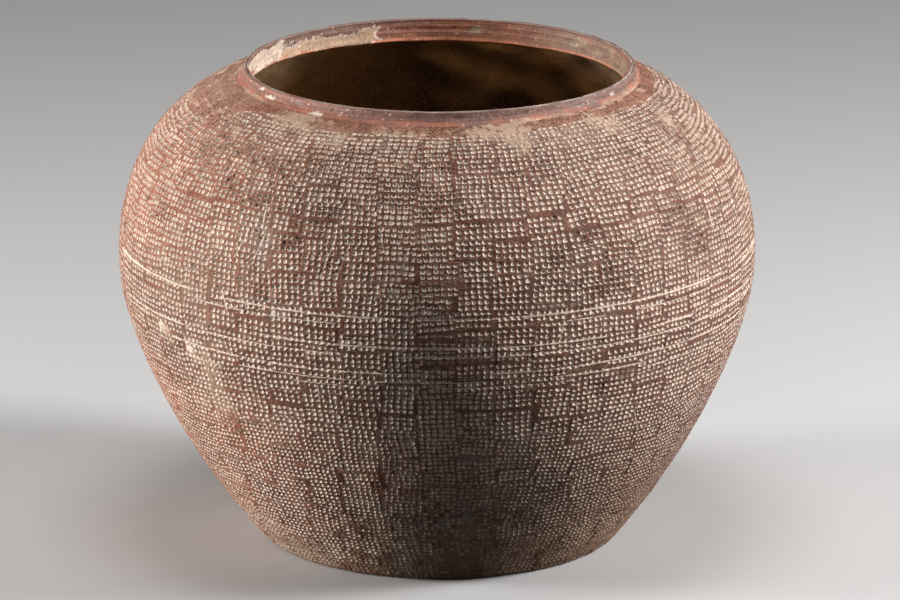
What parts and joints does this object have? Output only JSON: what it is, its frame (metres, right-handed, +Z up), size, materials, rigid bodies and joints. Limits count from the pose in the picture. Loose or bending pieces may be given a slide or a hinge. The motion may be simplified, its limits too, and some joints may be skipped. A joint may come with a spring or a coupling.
{
  "type": "pottery jar",
  "caption": "Wide-mouthed, round-bodied stamped pottery jar with a low double-ridged collar and a flat foot, built up from luted clay coils; stands free to store food, drink or grain.",
  "frame": {"origin": "on the floor plane, under the centre of the belly", "axes": "+Z up along the jar's axis; the pictured side faces -Y"},
  "size_m": [0.3192, 0.3208, 0.242],
  "materials": {
    "base_clay": "buff-brown fired clay, worn smooth at the foot",
    "wall_clay": "matt red-brown fired clay, stamped all over with small square pits that hold pale earth",
    "collar_clay": "wheel-smoothed dark red-brown fired clay with a faint sheen"
  },
  "bodies": {
    "root": {"base_disc": "base_clay", "wall_coil_01": "wall_clay", "wall_coil_02": "wall_clay", "wall_coil_03": "wall_clay", "wall_coil_04": "wall_clay", "wall_coil_05": "wall_clay", "wall_coil_06": "wall_clay", "wall_coil_07": "wall_clay", "wall_coil_08": "wall_clay", "wall_coil_09": "wall_clay", "wall_coil_10": "wall_clay", "wall_coil_11": "wall_clay", "wall_coil_12": "wall_clay", "wall_coil_13": "wall_clay", "wall_coil_14": "wall_clay", "wall_coil_15": "wall_clay", "wall_coil_16": "wall_clay", "wall_coil_17": "wall_clay", "wall_coil_18": "wall_clay", "neck_collar": "collar_clay"}
  },
  "joints": []
}
